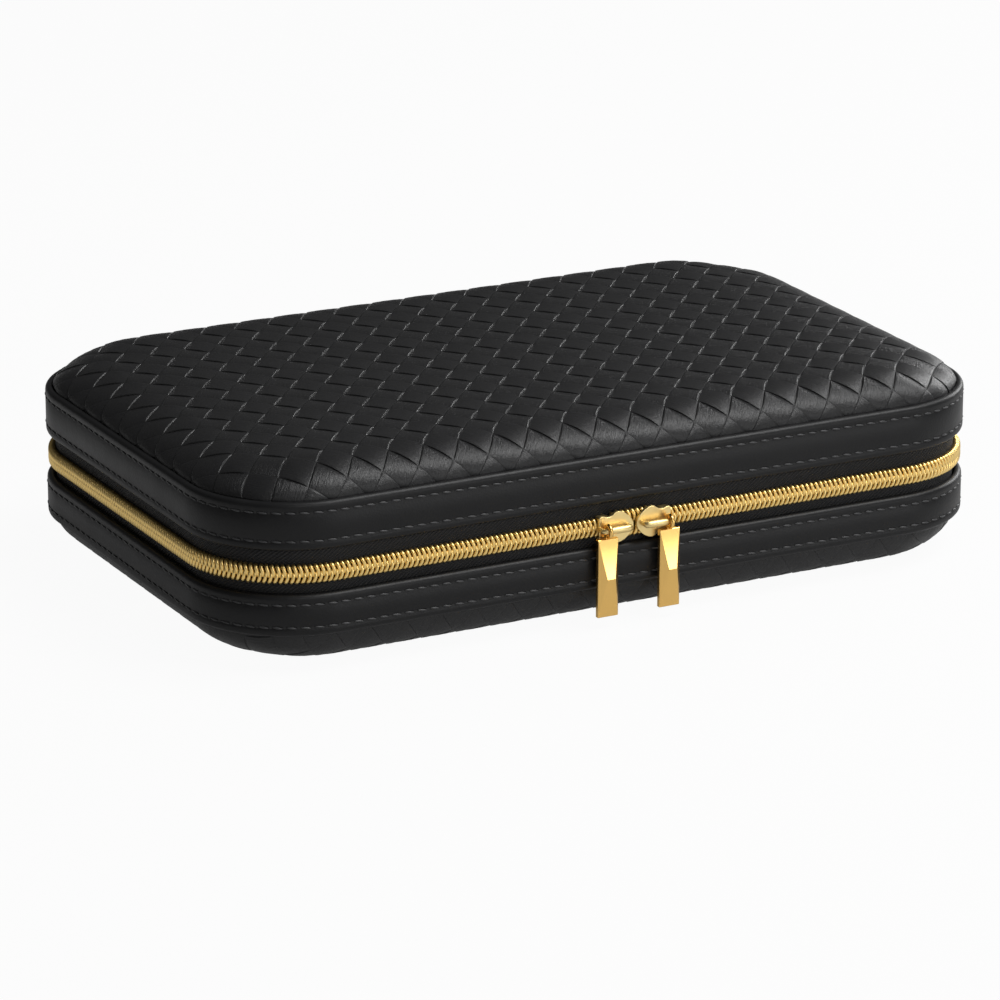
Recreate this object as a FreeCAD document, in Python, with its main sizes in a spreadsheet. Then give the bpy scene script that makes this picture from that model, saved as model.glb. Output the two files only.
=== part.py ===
import FreeCAD
import Part
import Sketcher
import math
import os

# Leather jewellery case with a two-slider zip round three sides and a leather hinge at the back.
# Frame: origin at the centre of the rest face, X along the length, front at -Y, Z up, millimetres.

SIZES = {
    # Plan of the case over its leather bands, and its layers from the table up
    "case_length": 260.0,
    "case_width": 164.0,
    "corner_radius": 34.0,
    "bottom_crown": 11.2,
    "base_band_height": 12.9,
    "zip_gap": 13.4,
    "zip_drop": 0.7,
    "lid_band_height": 14.7,
    "top_crown": 8.7,
    # Leather, board and lining thicknesses, and the glue line between layers
    "band_thickness": 2.0,
    "band_edge_turn": 0.8,
    "panel_thickness": 1.2,
    "panel_skirt": 4.0,
    "crown_reach": 16.0,
    "panel_gap": 0.2,
    "shell_thickness": 2.4,
    "lining_thickness": 0.8,
    "layer_gap": 0.1,
    # Zip tape and its leather hinge
    "tape_thickness": 0.6,
    "tape_tuck": 5.0,
    "tape_edge": 1.2,
    "hinge_thickness": 1.2,
    "hinge_end": 3.0,
    # Zip teeth: depth below the band's face, and half height of the closed chain
    "tooth_pitch": 1.8,
    "tooth_width": 0.7,
    "tooth_front": 0.5,
    "tooth_depth": 2.2,
    "tooth_root": 3.0,
    "tooth_reach": 0.4,
    "tooth_spread": 1.4,
    # Sliders, measured from the place where their noses meet
    "zip_meet": 1.0,
    "nose_gap": 0.8,
    "slider_length": 12.4,
    "slider_tail": 4.2,
    "slider_tail_half": 4.0,
    "slider_nose_half": 4.85,
    "slider_nose_bow": 3.0,
    "slider_plate": 1.2,
    "slider_lift": 0.2,
    "slider_slot": 3.7,
    "slider_back_plate": 1.0,
    "slider_flange": 0.6,
    "slider_flange_depth": 2.1,
    "slider_post": 1.6,
    "slider_post_inset": 1.2,
    # Bridge on each slider and the pull that hangs from it
    "bridge_bar": 2.0,
    "bridge_start": 0.5,
    "bridge_rise": 2.4,
    "bridge_length": 8.6,
    "eye_gap": 0.1,
    "eye_wall": 0.9,
    "eye_width": 1.4,
    "pull_seat": 2.4,
    "pull_neck": 0.4,
    "pull_width": 6.5,
    "pull_length": 24.3,
    "pull_edge": 1.5,
    "pull_back": 1.4,
    "pull_rise": 1.3,
    "pull_ridge": 2.7,
    "pull_ridge_flat": 0.3,
    "pull_ridge_low": 11.7,
    # Inside: floor pad, ring rolls, dividers and lid pad
    "floor_pad_thickness": 1.5,
    "roll_width": 15.0,
    "roll_height": 12.0,
    "roll_pitch": 16.0,
    "roll_end_gap": 4.0,
    "roll_start": 25.0,
    "divider_thickness": 2.4,
    "divider_height": 12.0,
    "divider_end_gap": 0.5,
    "divider_fit": 0.1,
    "divider_start": 106.0,
    "compartment_length": 46.0,
    "lid_pad_thickness": 4.0,
}

ROLL_COUNT = 5
DIVIDER_COUNT = 3
CROWN_STEPS = 3
SKIN_STEPS = 2
FOAM_STEPS = 1
BAR_SIDES = 8
SAME_LEVEL = 1e-4

doc = FreeCAD.newDocument("jewellery_case")
sheet = doc.addObject("Spreadsheet::Sheet", "sizes")
for row, (alias, number) in enumerate(SIZES.items(), start=1):
    sheet.set(f"A{row}", alias)
    sheet.set(f"B{row}", str(number))
    sheet.setAlias(f"B{row}", alias)
doc.recompute()

# Levels above the table
BASE_RIM = "sizes.bottom_crown"
BASE_EDGE = f"{BASE_RIM} + sizes.base_band_height"
ZIP_LINE = f"{BASE_EDGE} + sizes.zip_gap / 2 - sizes.zip_drop"
LID_EDGE = f"{BASE_EDGE} + sizes.zip_gap"
LID_RIM = f"{LID_EDGE} + sizes.lid_band_height"

# Insets of each layer from the bands' outer face
PANEL_INSET = "sizes.band_thickness + sizes.panel_gap"
SKIN_INSET = f"{PANEL_INSET} + sizes.panel_thickness"
FOAM_INSET = f"{SKIN_INSET} + sizes.layer_gap"
SHELL_INSET = f"{FOAM_INSET} + sizes.layer_gap"
SHELL_INSIDE = f"{SHELL_INSET} + sizes.shell_thickness"
LINING_INSET = f"{SHELL_INSIDE} + sizes.layer_gap"
LINING_INSIDE = f"{LINING_INSET} + sizes.lining_thickness"
PAD_INSET = f"{LINING_INSIDE} + sizes.layer_gap"
TAPE_BACK = f"{SHELL_INSET} - 2 * sizes.layer_gap"
TAPE_FRONT = f"{TAPE_BACK} - sizes.tape_thickness"

FRONT = "sizes.case_width / 2"
HINGE_LENGTH = "sizes.case_length - 2 * sizes.corner_radius - 2 * sizes.hinge_end"

pieces = []


def value(expression):
    return float(sheet.evalExpression(expression))


def keep(piece, label):
    piece.Label = label
    pieces.append(piece)
    return piece


def new_body(label):
    return keep(doc.addObject("PartDesign::Body", label), label)


def new_sketch(body, name, role, height, along="0", across="0"):
    """Sketch on one of the body's own origin planes, moved by the three expressions."""
    sketch = body.newObject("Sketcher::SketchObject", name)
    plane = next(f for f in body.Origin.OriginFeatures if f.Role == role)
    sketch.AttachmentSupport = (plane, [""])
    sketch.MapMode = "FlatFace"
    sketch.setExpression("AttachmentOffset.Base.x", along)
    sketch.setExpression("AttachmentOffset.Base.y", across)
    sketch.setExpression("AttachmentOffset.Base.z", height)
    return sketch


def bind(sketch, kind, places, name, expression):
    """Add one named dimension that follows the sheet."""
    index = sketch.addConstraint(Sketcher.Constraint(kind, *places, value(expression)))
    sketch.renameConstraint(index, name)
    sketch.setExpression(f"Constraints.{name}", expression)


def rounded_outline(sketch, inset, tag):
    """Rounded rectangle of the case's plan, drawn in by the inset."""
    length = f"sizes.case_length - 2 * ({inset})"
    width = f"sizes.case_width - 2 * ({inset})"
    radius = f"sizes.corner_radius - ({inset})"
    half_x = value(length) / 2
    half_y = value(width) / 2
    r = value(radius)
    corners = [(1, -1), (1, 1), (-1, 1), (-1, -1)]
    lines = []
    arcs = []
    for turn, (sx, sy) in enumerate(corners):
        px, py = corners[turn - 1]
        if turn % 2 == 0:
            start = (px * (half_x - r), sy * half_y)
            end = (sx * (half_x - r), sy * half_y)
        else:
            start = (sx * half_x, py * (half_y - r))
            end = (sx * half_x, sy * (half_y - r))
        lines.append(sketch.addGeometry(Part.LineSegment(FreeCAD.Vector(*start), FreeCAD.Vector(*end))))
        centre = FreeCAD.Vector(sx * (half_x - r), sy * (half_y - r))
        circle = Part.Circle(centre, FreeCAD.Vector(0, 0, 1), r)
        begin = math.radians(90 * turn - 90)
        arcs.append(sketch.addGeometry(Part.ArcOfCircle(circle, begin, begin + math.pi / 2)))
    for turn in range(4):
        after = lines[(turn + 1) % 4]
        sketch.addConstraint(Sketcher.Constraint("Tangent", lines[turn], 2, arcs[turn], 1))
        sketch.addConstraint(Sketcher.Constraint("Tangent", arcs[turn], 2, after, 1))
        sketch.addConstraint(Sketcher.Constraint("Vertical" if turn % 2 else "Horizontal", lines[turn]))
    for other in arcs[1:]:
        sketch.addConstraint(Sketcher.Constraint("Equal", arcs[0], other))
    sketch.addConstraint(Sketcher.Constraint("Symmetric", arcs[1], 3, arcs[3], 3, -1, 1))
    bind(sketch, "DistanceX", (lines[3], 1, lines[1], 1), f"{tag}_length", length)
    bind(sketch, "DistanceY", (lines[0], 1, lines[2], 1), f"{tag}_width", width)
    bind(sketch, "Radius", (arcs[0],), f"{tag}_radius", radius)


def polygon(sketch, corners, tag):
    """Closed run of straight lines through corners given as pairs of expressions."""
    points = [FreeCAD.Vector(value(x), value(y)) for x, y in corners]
    lines = []
    for here, there in zip(points, points[1:] + points[:1]):
        lines.append(sketch.addGeometry(Part.LineSegment(here, there)))
    for index, line in enumerate(lines):
        sketch.addConstraint(Sketcher.Constraint("Coincident", line, 2, lines[(index + 1) % len(lines)], 1))
        bind(sketch, "DistanceX", (line, 1), f"{tag}_x_{index}", corners[index][0])
        bind(sketch, "DistanceY", (line, 1), f"{tag}_y_{index}", corners[index][1])


def slider_outline(sketch):
    """Slider plate seen from the front: narrow tail, flared sides and a bowed nose."""
    nose_tip = "-sizes.nose_gap / 2"
    nose = f"{nose_tip} - sizes.slider_nose_bow"
    tail = f"{nose_tip} - sizes.slider_length"
    flare = f"{tail} + sizes.slider_tail"
    wide = "sizes.slider_nose_half"
    narrow = "sizes.slider_tail_half"
    bow = f"({wide} ^ 2 + sizes.slider_nose_bow ^ 2) / (2 * sizes.slider_nose_bow)"
    corners = [(nose, wide), (flare, narrow), (tail, narrow),
               (tail, f"-{narrow}"), (flare, f"-{narrow}"), (nose, f"-{wide}")]
    points = [FreeCAD.Vector(value(x), value(y)) for x, y in corners]
    lines = [sketch.addGeometry(Part.LineSegment(a, b)) for a, b in zip(points, points[1:])]
    for before, after in zip(lines, lines[1:]):
        sketch.addConstraint(Sketcher.Constraint("Coincident", before, 2, after, 1))
    tip = FreeCAD.Vector(value(nose_tip), 0)
    arc = sketch.addGeometry(Part.Arc(points[-1], tip, points[0]))
    sketch.addConstraint(Sketcher.Constraint("Coincident", lines[-1], 2, arc, 1))
    sketch.addConstraint(Sketcher.Constraint("Coincident", arc, 2, lines[0], 1))
    for index, (x, y) in enumerate(corners[:-1]):
        bind(sketch, "DistanceX", (lines[index], 1), f"plate_x_{index}", x)
        bind(sketch, "DistanceY", (lines[index], 1), f"plate_y_{index}", y)
    bind(sketch, "DistanceX", (lines[-1], 2), "plate_x_end", corners[-1][0])
    bind(sketch, "DistanceY", (lines[-1], 2), "plate_y_end", corners[-1][1])
    bind(sketch, "Radius", (arc,), "plate_nose", bow)


def pad(body, sketch, length):
    feature = body.newObject("PartDesign::Pad", "Pad")
    feature.Profile = sketch
    feature.setExpression("Length", length)
    doc.recompute()
    return feature


def pocket(body, sketch, depth, upward):
    before = body.Shape.Volume
    feature = body.newObject("PartDesign::Pocket", "Pocket")
    feature.Profile = sketch
    feature.Reversed = upward
    feature.setExpression("Length", depth)
    doc.recompute()
    if body.Shape.Volume >= before:
        raise RuntimeError(f"the pocket of {body.Label} cuts nothing")
    return feature


def edges_at(shape, level):
    """Names of the level edges at one height."""
    names = []
    for index, edge in enumerate(shape.Edges, start=1):
        bounds = edge.BoundBox
        if abs(bounds.ZMin - level) < SAME_LEVEL and abs(bounds.ZMax - level) < SAME_LEVEL:
            names.append(f"Edge{index}")
    return names


def chamfer(body, feature, names, size):
    sloped = body.newObject("PartDesign::Chamfer", "Chamfer")
    sloped.Base = (feature, names)
    sloped.setExpression("Size", size)
    doc.recompute()
    return sloped


def ring(label, outer, inner, low, height):
    """Upright wall that follows the case's plan between two insets."""
    body = new_body(label)
    sketch = new_sketch(body, "Plan", "XY_Plane", low)
    rounded_outline(sketch, outer, "outer")
    rounded_outline(sketch, inner, "inner")
    return body, pad(body, sketch, height)


def slab(label, inset, low, height):
    body = new_body(label)
    sketch = new_sketch(body, "Plan", "XY_Plane", low)
    rounded_outline(sketch, inset, "outer")
    return body, pad(body, sketch, height)


def outer_edges(body, level):
    """The eight outer edges of a ring at one height."""
    half_x = value("sizes.case_length / 2")
    half_y = value("sizes.case_width / 2")
    r = value("sizes.corner_radius")
    names = []
    for name in edges_at(body.Shape, level):
        edge = body.Shape.getElement(name)
        middle = edge.valueAt((edge.FirstParameter + edge.LastParameter) / 2)
        over_x = max(abs(middle.x) - (half_x - r), 0)
        over_y = max(abs(middle.y) - (half_y - r), 0)
        if math.hypot(over_x, over_y) > r - value("sizes.band_thickness / 2"):
            names.append(name)
    return names


def band(label, low, height):
    """Smooth leather band with both of its outer edges turned in."""
    body, wall = ring(label, "0", "sizes.band_thickness", low, height)
    names = outer_edges(body, value(low)) + outer_edges(body, value(f"{low} + {height}"))
    chamfer(body, wall, names, "sizes.band_edge_turn")


def crown_loft(body, kind, low, spring, height, up, steps):
    """Pillow form: outlines set on a quarter ellipse that springs from one (inset, level) pair."""
    inset, level = spring
    levels = list(low)
    for step in range(steps + 1):
        turn = math.pi / 2 * step / steps
        levels.append((f"{inset} + sizes.crown_reach * {1 - math.cos(turn):.6f}",
                       f"{level} {up} ({height}) * {math.sin(turn):.6f}"))
    sketches = []
    for drawn_in, height_above in levels:
        sketch = new_sketch(body, "Outline", "XY_Plane", height_above)
        rounded_outline(sketch, drawn_in, "outer")
        sketches.append(sketch)
    doc.recompute()
    loft = body.newObject(kind, "Crown")
    loft.Profile = sketches[0]
    loft.Sections = sketches[1:]
    loft.Ruled = True
    doc.recompute()


def crown_panel(label, rim, height, up, down):
    """Leather cap: a padded crown with a thin skirt that tucks behind the band."""
    body = new_body(label)
    skirt = f"{rim} {down} sizes.panel_skirt"
    outside = (PANEL_INSET, rim)
    crown_loft(body, "PartDesign::AdditiveLoft", [(PANEL_INSET, skirt)], outside, height, up, CROWN_STEPS)
    solid = body.Shape.Volume
    inside = (SKIN_INSET, rim)
    inner_height = f"{height} - sizes.panel_thickness"
    skirt_inside = [(SKIN_INSET, skirt)]
    crown_loft(body, "PartDesign::SubtractiveLoft", skirt_inside, inside, inner_height, up, SKIN_STEPS)
    if body.Shape.Volume >= solid:
        raise RuntimeError(f"the hollow of {label} cuts nothing")


def crown_foam(label, rim, height, up):
    """Foam pillow between the board and the leather cap."""
    body = new_body(label)
    spring = (f"{FOAM_INSET} + sizes.layer_gap", f"{rim} {up} sizes.layer_gap")
    foam_height = f"{height} - sizes.panel_thickness - 2 * sizes.layer_gap"
    crown_loft(body, "PartDesign::AdditiveLoft", [], spring, foam_height, up, FOAM_STEPS)


def tray(label, inset, inside, low, height, floor, opens_up):
    body, _ = slab(label, inset, low, height)
    mouth = f"{low} + {height}" if opens_up else low
    sketch = new_sketch(body, "Hollow", "XY_Plane", mouth)
    rounded_outline(sketch, inside, "inner")
    pocket(body, sketch, f"{height} - {floor}", not opens_up)


def zip_tape(label, low, height):
    """Woven tape behind the band, left out along the back where the hinge is."""
    body, _ = ring(label, TAPE_FRONT, TAPE_BACK, low, height)
    sketch = new_sketch(body, "HingeGap", "XY_Plane", low)
    half = f"({HINGE_LENGTH}) / 2 + sizes.layer_gap"
    near = f"{FRONT} - sizes.corner_radius / 2"
    polygon(sketch, [(half, near), (half, FRONT), (f"-({half})", FRONT), (f"-({half})", near)], "gap")
    pocket(body, sketch, height, True)


def primitive(kind, name, sizes, place, rotation=None):
    """Part primitive whose sizes and corner follow the sheet."""
    solid = doc.addObject(kind, name)
    for prop, expression in sizes.items():
        solid.setExpression(prop, expression)
    if rotation is not None:
        solid.Placement = FreeCAD.Placement(FreeCAD.Vector(), rotation)
    for axis, expression in zip("xyz", place):
        solid.setExpression(f"Placement.Base.{axis}", expression)
    return solid


def box(name, sizes, place):
    return primitive("Part::Box", name, dict(zip(("Length", "Width", "Height"), sizes)), place)


def join(name, solids):
    fused = doc.addObject("Part::MultiFuse", name)
    fused.Shapes = solids
    return fused


def cut(name, base, tool):
    result = doc.addObject("Part::Cut", name)
    result.Base = base
    result.Tool = tool
    return result


def mirrored(label, source):
    """The right-hand twin of a left-hand piece, about the place where the sliders meet."""
    twin = keep(doc.addObject("Part::Mirroring", label), label)
    twin.Source = source
    twin.Normal = FreeCAD.Vector(1, 0, 0)
    twin.setExpression("Base.x", "sizes.zip_meet")


# Base: board tray, foam crown, leather cap, band, lining and floor pad
band("base_band", BASE_RIM, "sizes.base_band_height")
crown_panel("base_panel", BASE_RIM, "sizes.bottom_crown", "-", "+")
crown_foam("base_crown_foam", BASE_RIM, "sizes.bottom_crown", "-")
board = "sizes.shell_thickness"
tray("base_shell", SHELL_INSET, SHELL_INSIDE, BASE_RIM, "sizes.base_band_height", board, True)
lining_low = f"{BASE_RIM} + sizes.shell_thickness + sizes.layer_gap"
lining_height = "sizes.base_band_height - sizes.shell_thickness - sizes.layer_gap"
tray("base_lining", LINING_INSET, LINING_INSIDE, lining_low, lining_height, "sizes.lining_thickness", True)
FLOOR = f"{lining_low} + sizes.lining_thickness + sizes.layer_gap"
slab("base_floor_pad", PAD_INSET, FLOOR, "sizes.floor_pad_thickness")
PAD_TOP = f"{FLOOR} + sizes.floor_pad_thickness"

# Lid: the same layers, upside down, with a soft pad under its board
band("lid_band", LID_EDGE, "sizes.lid_band_height")
crown_panel("lid_panel", LID_RIM, "sizes.top_crown", "+", "-")
crown_foam("lid_crown_foam", LID_RIM, "sizes.top_crown", "+")
tray("lid_shell", SHELL_INSET, SHELL_INSIDE, LID_EDGE, "sizes.lid_band_height", board, False)
lid_lining_height = "sizes.lid_band_height - sizes.shell_thickness - sizes.layer_gap"
tray("lid_lining", LINING_INSET, LINING_INSIDE, LID_EDGE, lid_lining_height, "sizes.lining_thickness", False)
LID_PAD_TOP = f"{LID_EDGE} + {lid_lining_height} - sizes.lining_thickness - sizes.layer_gap"
lid_pad_low = f"{LID_PAD_TOP} - sizes.lid_pad_thickness"
slab("lid_pad", PAD_INSET, lid_pad_low, "sizes.lid_pad_thickness")

# Padding strips behind the bands, between the caps' skirts and the tapes
strip_outer = "sizes.band_thickness + sizes.layer_gap"
strip_inner = f"{SHELL_INSET} - sizes.layer_gap"
ring("base_band_foam", strip_outer, strip_inner, f"{BASE_RIM} + sizes.panel_skirt + sizes.layer_gap",
     "sizes.base_band_height - sizes.panel_skirt - sizes.tape_tuck - 2 * sizes.layer_gap")
ring("lid_band_foam", strip_outer, strip_inner, f"{LID_EDGE} + sizes.tape_tuck + sizes.layer_gap",
     "sizes.lid_band_height - sizes.panel_skirt - sizes.tape_tuck - 2 * sizes.layer_gap")

# Zip tapes, and the leather hinge that bridges the two bands at the back
half_gap = "sizes.tape_tuck + sizes.zip_gap / 2 - sizes.tape_edge"
zip_tape("base_tape", f"{BASE_EDGE} - sizes.tape_tuck", f"{half_gap} - sizes.zip_drop")
zip_tape("lid_tape", f"{ZIP_LINE} + sizes.tape_edge", f"{half_gap} + sizes.zip_drop")
hinge_front = f"{FRONT} - ({SHELL_INSET}) + sizes.layer_gap"
hinge = box("hinge_strip", (HINGE_LENGTH, "sizes.hinge_thickness", "sizes.zip_gap + 2 * sizes.tape_tuck"),
            (f"-({HINGE_LENGTH}) / 2", hinge_front, f"{BASE_EDGE} - sizes.tape_tuck"))
keep(hinge, "hinge_strip")


# Zip teeth: wedges set along the tape's front, those of the lid half a pitch on
def chain_point(distance):
    """Place and heading on the tooth line, from the hinge's left end round the front to its right end."""
    inset = value("sizes.tooth_front + sizes.tooth_depth / 2")
    r = value("sizes.corner_radius") - inset
    side_x = value("sizes.case_length / 2") - inset
    side_y = value("sizes.case_width / 2") - inset
    quarter = math.pi * r / 2
    back_run = value("sizes.hinge_end")
    end_run = 2 * (side_y - r)
    front_run = 2 * (side_x - r)
    runs = [back_run, quarter, end_run, quarter, front_run, quarter, end_run, quarter, back_run]
    starts = [(-side_x + r + back_run, side_y, 180), (-side_x + r, side_y, 180), (-side_x, side_y - r, 270),
              (-side_x, -side_y + r, 270), (-side_x + r, -side_y, 0), (side_x - r, -side_y, 0),
              (side_x, -side_y + r, 90), (side_x, side_y - r, 90), (side_x - r, side_y, 180)]
    for index, (run, (x, y, heading)) in enumerate(zip(runs, starts)):
        if distance <= run or index == len(runs) - 1:
            break
        distance -= run
    angle = math.radians(heading)
    if index % 2 == 0:
        return x + distance * math.cos(angle), y + distance * math.sin(angle), heading
    turn = distance / r
    centre_x = x - r * math.sin(angle)
    centre_y = y + r * math.cos(angle)
    return (centre_x + r * math.sin(angle + turn), centre_y - r * math.cos(angle + turn),
            heading + math.degrees(turn))


def chain_length():
    inset = value("sizes.tooth_front + sizes.tooth_depth / 2")
    r = value("sizes.corner_radius") - inset
    straight = value("sizes.case_length + 2 * sizes.case_width") - 6 * value("sizes.corner_radius")
    return straight + 2 * math.pi * r + 2 * value("sizes.hinge_end")


def spread_at(x, y):
    """How far a row stands off the zip line: open between the noses, closed behind the tails."""
    if y > 0:
        return 0.0
    near = value("sizes.slider_post_inset + sizes.slider_post + sizes.nose_gap / 2 + sizes.tooth_pitch")
    far = value("sizes.nose_gap / 2 + sizes.slider_length - sizes.slider_flange - sizes.tooth_root")
    share = (far - abs(x - value("sizes.zip_meet"))) / (far - near)
    share = min(max(share, 0.0), 1.0)
    return value("sizes.tooth_spread") * share * share * (3 - 2 * share)


def tooth_blade(up):
    """One wedge tooth about the zip line, heading along X with its upright face at -Y."""
    depth = value("sizes.tooth_depth")
    root = value("sizes.tooth_root") * up
    tip = -value("sizes.tooth_reach") * up
    half = value("sizes.tooth_width / 2")
    profile = [(-depth / 2, root), (depth / 2, root), (-depth / 2, tip)]
    points = [FreeCAD.Vector(-half, y, z) for y, z in profile]
    face = Part.Face(Part.makePolygon(points + points[:1]))
    return face.extrude(FreeCAD.Vector(2 * half, 0, 0))


def chain(label, up, first):
    blade = tooth_blade(up)
    pitch = value("sizes.tooth_pitch")
    length = chain_length()
    margin = value("sizes.hinge_end")
    teeth = []
    distance = margin + first
    while distance < length - margin:
        x, y, heading = chain_point(distance)
        place = FreeCAD.Vector(x, y, value(ZIP_LINE) + up * spread_at(x, y))
        tooth = blade.copy()
        tooth.Placement = FreeCAD.Placement(place, FreeCAD.Rotation(FreeCAD.Vector(0, 0, 1), heading))
        teeth.append(tooth)
        distance += pitch
    row = keep(doc.addObject("Part::Feature", label), label)
    row.Shape = Part.makeCompound(teeth)


chain("base_chain", -1, 0.0)
chain("lid_chain", 1, value("sizes.tooth_pitch / 2"))

# Left slider: two plates joined by the post at the nose, with flanges along the tail
plate_back = f"{FRONT} - sizes.tooth_front + sizes.slider_lift"
slot_back = f"{plate_back} - sizes.slider_slot"
left_slider = new_body("left_slider")
front_sketch = new_sketch(left_slider, "FrontPlate", "XZ_Plane", plate_back, "sizes.zip_meet", ZIP_LINE)
slider_outline(front_sketch)
front_pad = pad(left_slider, front_sketch, "sizes.slider_plate")
post_sketch = new_sketch(left_slider, "Post", "XZ_Plane", slot_back, "sizes.zip_meet", ZIP_LINE)
post_end = "-sizes.nose_gap / 2 - sizes.slider_post_inset"
post_start = f"{post_end} - sizes.slider_post"
half_post = "sizes.slider_post / 2"
polygon(post_sketch, [(post_start, f"-{half_post}"), (post_end, f"-{half_post}"),
                      (post_end, half_post), (post_start, half_post)], "post")
pad(left_slider, post_sketch, "sizes.slider_slot")
slider_tail_x = "-sizes.nose_gap / 2 - sizes.slider_length"
flange_sketch = new_sketch(left_slider, "Flanges", "XZ_Plane", f"{plate_back} - sizes.slider_flange_depth",
                           "sizes.zip_meet", ZIP_LINE)
flange_end = f"{slider_tail_x} + sizes.slider_tail"
flange_out = "sizes.slider_tail_half"
flange_in = f"({flange_out} - sizes.slider_flange)"
polygon(flange_sketch, [(slider_tail_x, flange_in), (flange_end, flange_in),
                        (flange_end, flange_out), (slider_tail_x, flange_out)], "upper")
polygon(flange_sketch, [(slider_tail_x, f"-{flange_out}"), (flange_end, f"-{flange_out}"),
                        (flange_end, f"-{flange_in}"), (slider_tail_x, f"-{flange_in}")], "lower")
pad(left_slider, flange_sketch, "sizes.slider_flange_depth")
back_sketch = new_sketch(left_slider, "BackPlate", "XZ_Plane", f"{slot_back} - sizes.slider_back_plate",
                         "sizes.zip_meet", ZIP_LINE)
slider_outline(back_sketch)
pad(left_slider, back_sketch, "sizes.slider_back_plate")
mirrored("right_slider", left_slider)

# Left bridge: an eight-sided bar on two legs over the slider's front plate
plate_front = f"{plate_back} + sizes.slider_plate"
bar_front = f"{plate_front} + sizes.bridge_rise"
tail_place = f"sizes.zip_meet + ({slider_tail_x})"
bar_start = f"{tail_place} + sizes.bridge_start"
bar_radius = "sizes.bridge_bar / 2"
along_x = FreeCAD.Rotation(FreeCAD.Vector(0, 1, 0), 90)
outward = FreeCAD.Rotation(FreeCAD.Vector(1, 0, 0), 90)
bar_length = "sizes.bridge_length + sizes.bridge_bar"
bar_parts = []
for rod_name, rod_length, rod_x, rod_y, turn in (
        ("BridgeBar", bar_length, f"{bar_start} - {bar_radius}", bar_front, along_x),
        ("TailLeg", "sizes.bridge_rise", bar_start, plate_front, outward),
        ("NoseLeg", "sizes.bridge_rise", f"{bar_start} + sizes.bridge_length", plate_front, outward)):
    rod = primitive("Part::Prism", rod_name, {"Circumradius": bar_radius, "Height": rod_length},
                    (rod_x, f"-({rod_y})", ZIP_LINE), turn)
    rod.Polygon = BAR_SIDES
    bar_parts.append(rod)
left_bridge = keep(join("left_bridge", bar_parts), "left_bridge")
mirrored("right_bridge", left_bridge)

# Left pull: an eye round the bridge's bar, a neck, and a bar with four facets about a short ridge
pull_x = f"{tail_place} + sizes.pull_seat"
eye_inner = "sizes.bridge_bar / 2 + sizes.eye_gap"
eye_outer = f"{eye_inner} + sizes.eye_wall"
eye_place = (f"{pull_x} - sizes.eye_width / 2", f"-({bar_front})", ZIP_LINE)
eye_disc = primitive("Part::Cylinder", "EyeDisc", {"Radius": eye_outer, "Height": "sizes.eye_width"},
                     eye_place, along_x)
eye_hole = primitive("Part::Cylinder", "EyeHole", {"Radius": eye_inner, "Height": "sizes.eye_width"},
                     eye_place, along_x)
pull_top = f"{ZIP_LINE} - ({eye_outer}) - sizes.pull_neck"
pull_low = f"{pull_top} - sizes.pull_length"
pull_rear = f"{bar_front} - sizes.pull_back"
pull_face = f"{pull_rear} + sizes.pull_edge"
neck = box("Neck", ("sizes.eye_width", "sizes.pull_edge", "sizes.pull_neck + 2 * sizes.eye_wall"),
           (f"{pull_x} - sizes.eye_width / 2", f"-({pull_face})", f"{pull_top} - sizes.eye_wall"))
blade_bar = box("PullBar", ("sizes.pull_width", "sizes.pull_edge", "sizes.pull_length"),
                (f"{pull_x} - sizes.pull_width / 2", f"-({pull_face})", pull_low))
facets = primitive("Part::Wedge", "Facets",
                   {"Xmin": "-sizes.pull_width / 2", "Xmax": "sizes.pull_width / 2",
                    "Ymin": "0", "Ymax": "sizes.pull_rise", "Zmin": "0", "Zmax": "sizes.pull_length",
                    "X2min": "-sizes.pull_ridge / 2", "X2max": "sizes.pull_ridge / 2",
                    "Z2min": "sizes.pull_ridge_low - sizes.pull_ridge_flat / 2",
                    "Z2max": "sizes.pull_ridge_low + sizes.pull_ridge_flat / 2"},
                   (pull_x, f"-({pull_face})", pull_low), FreeCAD.Rotation(FreeCAD.Vector(0, 0, 1), 180))
pull_blank = join("PullBlank", [eye_disc, neck, blade_bar, facets])
left_pull = keep(cut("left_pull", pull_blank, eye_hole), "left_pull")
mirrored("right_pull", left_pull)

# Ring rolls across the left end of the base, side by side on the floor pad
for number in range(ROLL_COUNT):
    roll_x = f"-sizes.case_length / 2 + {LINING_INSIDE} + sizes.roll_start + {number} * sizes.roll_pitch"
    roll_length = f"sizes.case_width - 2 * ({LINING_INSIDE} + sizes.roll_end_gap)"
    roll_low = f"{PAD_TOP} + sizes.layer_gap"
    roll_axis = f"{roll_low} + sizes.roll_height - sizes.roll_width / 2"
    round_body = primitive("Part::Cylinder", "RollRound",
                           {"Radius": "sizes.roll_width / 2", "Height": roll_length},
                           (roll_x, f"({roll_length}) / 2", roll_axis), outward)
    flat_limit = box("RollFlat", ("sizes.roll_width", roll_length, "sizes.roll_height"),
                     (f"{roll_x} - sizes.roll_width / 2", f"-({roll_length}) / 2", roll_low))
    roll = keep(doc.addObject("Part::Common", f"ring_roll_{number + 1}"), f"ring_roll_{number + 1}")
    roll.Base = round_body
    roll.Tool = flat_limit

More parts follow.
